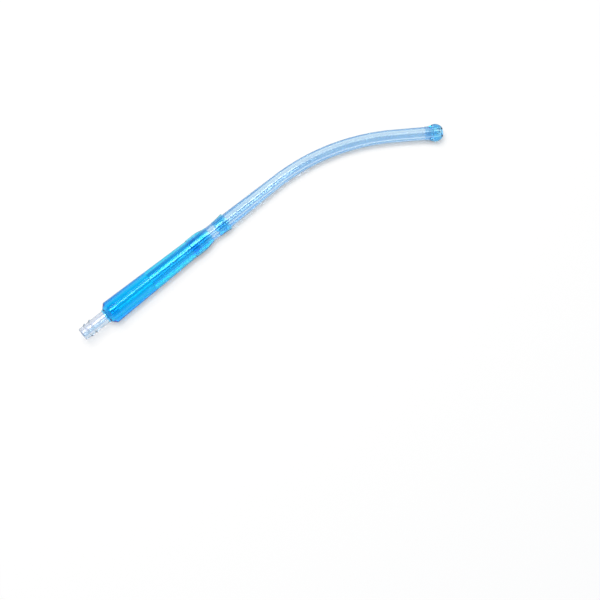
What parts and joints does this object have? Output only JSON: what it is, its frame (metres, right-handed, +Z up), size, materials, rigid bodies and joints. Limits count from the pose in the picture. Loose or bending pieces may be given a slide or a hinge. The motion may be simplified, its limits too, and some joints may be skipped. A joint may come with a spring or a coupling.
{
  "type": "yankauer suction tip",
  "caption": "Yankauer suction tip: clear ribbed hose connector, tapered blue handle, bent thick-walled tube and ball tip, lying on its side.",
  "frame": {"origin": "centre of the lying object's bounding box, on the table", "axes": "+X along the handle, from the hose connector towards the tip; the tube bends towards -Y; +Z up from the table"},
  "size_m": [0.2544, 0.0518, 0.0149],
  "materials": {
    "connector_clear": "clear moulded plastic with a faint lilac cast, smooth and glossy",
    "handle_blue": "transparent sky-blue moulded plastic, smooth and glossy",
    "tube_pale_blue": "clear pale-blue extruded plastic with a thick wall, smooth and glossy",
    "tip_blue": "transparent blue moulded plastic, smooth and glossy"
  },
  "bodies": {
    "root": {"hose_connector": "connector_clear", "handle_barrel": "handle_blue", "handle_nose": "handle_blue", "handle_collar": "handle_blue", "suction_tube": "tube_pale_blue", "bulb_tip": "tip_blue"}
  },
  "joints": []
}
